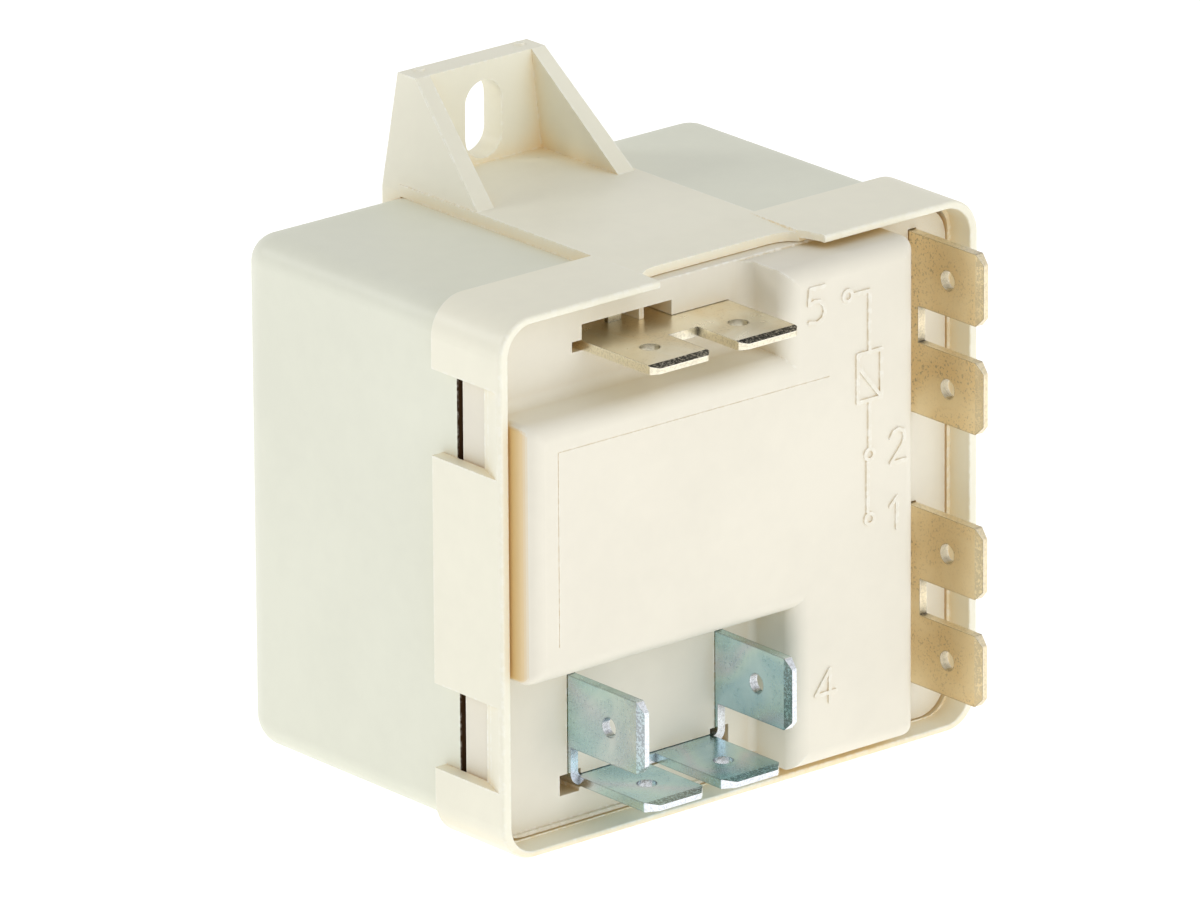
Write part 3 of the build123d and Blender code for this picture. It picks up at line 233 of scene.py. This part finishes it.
def simple(name, base, metallic, rough, scale=900.0, bump=0.00002, spread=0.08, stretch=(1, 1, 1)):
    """Inner pieces: even colour with mottling and grain."""
    m, t = new_mat(name)
    tc = t.add("ShaderNodeTexCoord").outputs["Object"]
    co = t.add("ShaderNodeMapping", {"Vector": tc, "Scale": stretch}).outputs[0]
    a = t.noise(co, scale, 4.0, 0.6)
    b = t.noise(co, scale * 0.12, 2.0, 0.5, 0.5)
    lo = tuple(c * (1 - spread) for c in base[:3]) + (1,)
    hi = tuple(min(1, c * (1 + spread)) for c in base[:3]) + (1,)
    col = t.mix(t.ramp(t.math("ADD", t.math("MULTIPLY", a, 0.4), t.math("MULTIPLY", b, 0.6)), ((0.35, 0.0), (0.65, 1.0))), lo, hi)
    r = t.math("ADD", rough - 0.06, t.math("MULTIPLY", a, 0.12))
    bp = t.add("ShaderNodeBump", {"Strength": 0.5, "Distance": bump, "Height": a}).outputs[0]
    p = t.add("ShaderNodeBsdfPrincipled", {"Base Color": col, "Roughness": r, "Normal": bp, "Metallic": metallic})
    out = t.add("ShaderNodeOutputMaterial")
    t.link(p.outputs[0], out.inputs[0])
    return m


# gold of the painted shade in gaps and recesses
GAP_SHADE_GOLD = lin(242, 210, 148)
SILVER = (0.78, 0.78, 0.79, 1)
# each plastic's second colour is the gold of its painted shade in gaps and recesses
M = {
    "housing_plastic": plastic("housing_plastic", lin(227, 228, 212), GAP_SHADE_GOLD, 0.11, rough=0.42, glow=0.0, rim_painted_shade=True),
    "frame_plastic": plastic("frame_plastic", lin(239, 236, 218), GAP_SHADE_GOLD, 0.37, rough=0.40, spread=((0.04, 0.95), (0.30, 0.60), (0.52, 0.30), (0.72, 0.0))),
    "base_plastic": plastic("base_plastic", lin(230, 225, 210), lin(214, 180, 114), 0.73, rough=0.42, wall=1.0),
    "tinned_brass": sheet_metal("tinned_brass", lin(250, 234, 198), lin(242, 220, 176), lin(238, 224, 192), "X", 0.2, rough=0.34, specks=0.9),
    "tinned_brass_5": sheet_metal("tinned_brass_5", lin(252, 246, 226), lin(246, 232, 200), lin(240, 232, 208), "Z", 0.4, rough=0.30, specks=0.35, coin_painted_reflection=1.0),
    "zinc_steel": sheet_metal("zinc_steel", lin(228, 242, 246), lin(198, 222, 230), (0.84, 0.88, 0.93, 1), "XZ", 0.5, rough=0.22, specks=0.25, iris=0.65, coin_painted_reflection=0.3),
    "magnet_steel": simple("magnet_steel", (0.56, 0.57, 0.60, 1), 1.0, 0.38),
    "bobbin_plastic": simple("bobbin_plastic", (0.035, 0.033, 0.032, 1), 0.0, 0.45),
    "copper_wire": simple("copper_wire", (0.62, 0.24, 0.09, 1), 1.0, 0.30, 1200.0, 0.00012, 0.12, (0.05, 0.05, 4.0)),
    "coil_tape": simple("coil_tape", (0.72, 0.50, 0.06, 1), 0.0, 0.25),
    "shim_brass": simple("shim_brass", (0.78, 0.58, 0.26, 1), 1.0, 0.28),
    "carrier_plastic": simple("carrier_plastic", (0.30, 0.07, 0.03, 1), 0.0, 0.45),
    "spring_steel": simple("spring_steel", (0.62, 0.62, 0.62, 1), 1.0, 0.24),
    "contact_copper": simple("contact_copper", (0.80, 0.42, 0.26, 1), 1.0, 0.26),
    "contact_silver": simple("contact_silver", (0.88, 0.87, 0.84, 1), 1.0, 0.30),
    "lead_insulation": simple("lead_insulation", (0.03, 0.08, 0.30, 1), 0.0, 0.40),
    "pin_metal": simple("pin_metal", (0.80, 0.80, 0.77, 1), 1.0, 0.25),
    "fastener_steel": simple("fastener_steel", (0.66, 0.66, 0.62, 1), 1.0, 0.32),
}

slots = {s["node"]: s["material_slot"] for s in frame["record"]["subparts"]}
for name, obj in NODES.items():
    mat = M["tinned_brass_5" if name == "terminal_5" else slots[name]]
    if obj.material_slots:
        for s in obj.material_slots:
            s.material = mat
    else:
        obj.data.materials.append(mat)

# --------------------------------------------------------------------------
# camera
# --------------------------------------------------------------------------
az, el, roll = math.radians(-39.978), math.radians(19.234), math.radians(-0.369)
back = Vector((math.sin(az) * math.cos(el), -math.cos(az) * math.cos(el), math.sin(el)))
right = Vector((0, 0, 1)).cross(back).normalized()
up = back.cross(right)
c, s = math.cos(roll), math.sin(roll)
r2 = right * c + up * s
u2 = right * -s + up * c
aim = Vector((-15.431, RIM, 34.015)) * MM
cam_data = bpy.data.cameras.new("camera")
cam_data.sensor_fit = "HORIZONTAL"
cam_data.sensor_width = 36.0
cam_data.lens = 14262.666 * 36.0 / 1200.0
cam_data.clip_start = 0.05
cam_data.clip_end = 20.0
cam = bpy.data.objects.new("camera", cam_data)
m = Matrix((r2, u2, back)).transposed().to_4x4()
m.translation = aim + back * (1171.75 * MM)
cam.matrix_world = m
scene.collection.objects.link(cam)
scene.camera = cam

# --------------------------------------------------------------------------
# floor and light
# --------------------------------------------------------------------------
bpy.ops.mesh.primitive_plane_add(size=6.0, location=(0, 0, -0.00003))
floor = bpy.context.active_object
floor.name = "floor"
fm, t = new_mat("floor")
tc = t.add("ShaderNodeTexCoord").outputs["Object"]
n = t.noise(tc, 8.0, 2.0)
col = t.mix(n, (0.58, 0.58, 0.577, 1), (0.62, 0.62, 0.617, 1))
p = t.add("ShaderNodeBsdfPrincipled", {"Base Color": col, "Roughness": 0.75, "Emission Color": (1, 1, 1, 1), "Emission Strength": 0.75})
out = t.add("ShaderNodeOutputMaterial")
t.link(p.outputs[0], out.inputs[0])
floor.data.materials.append(fm)

world = bpy.data.worlds.new("studio")
scene.world = world
world.use_nodes = True
w = Tree(world.node_tree)
wc = w.add("ShaderNodeTexCoord").outputs["Generated"]
sep = w.add("ShaderNodeSeparateXYZ", {0: wc})
# a white sweep round the object up to about 25 degrees, dimmer overhead, and
# a dark patch of the room high at the back right
lum = w.ramp(sep.outputs[2], ((0.0, 0.90), (0.38, 0.90), (0.50, 0.83), (1.0, 0.67)))
room = w.add("ShaderNodeVectorMath", {0: wc, 1: (0.607, 0.530, 0.592)}, operation="DOT_PRODUCT").outputs["Value"]
left = w.ramp(w.math("MULTIPLY", sep.outputs[0], -1.0), ((0.10, 1.0), (0.80, 0.52)))
lum = w.mix(1.0, lum, left, "MULTIPLY")
lum = w.mix(w.ramp(room, ((0.965, 0.0), (0.985, 1.0))), lum, (0.02, 0.02, 0.02, 1))
bg = w.add("ShaderNodeBackground", {"Color": lum, "Strength": 1.0})
wo = w.add("ShaderNodeOutputWorld")
w.link(bg.outputs[0], wo.inputs[0])


def area(name, loc, target, size, power, color=(1, 1, 1)):
    d = bpy.data.lights.new(name, "AREA")
    d.shape = "RECTANGLE"
    d.size, d.size_y = size
    d.energy = power
    d.color = color
    o = bpy.data.objects.new(name, d)
    v = (Vector(loc) - Vector(target)).normalized()
    o.rotation_euler = v.to_track_quat("Z", "Y").to_euler()
    o.location = loc
    scene.collection.objects.link(o)
    return o


centre = (0.0, 0.0, 0.025)
area("key", (0.32, -0.90, 0.68), centre, (0.80, 0.80), 1.65)
area("front_fill", (-0.22, -1.0, 0.06), centre, (0.60, 0.40), 1.15)
area("rear_left", (-0.757, 0.757, 0.566), centre, (0.25, 0.25), 2.6)

scene.view_settings.view_transform = "Standard"
scene.view_settings.look = "None"
scene.view_settings.exposure = 0.0
scene.view_settings.gamma = 1.0
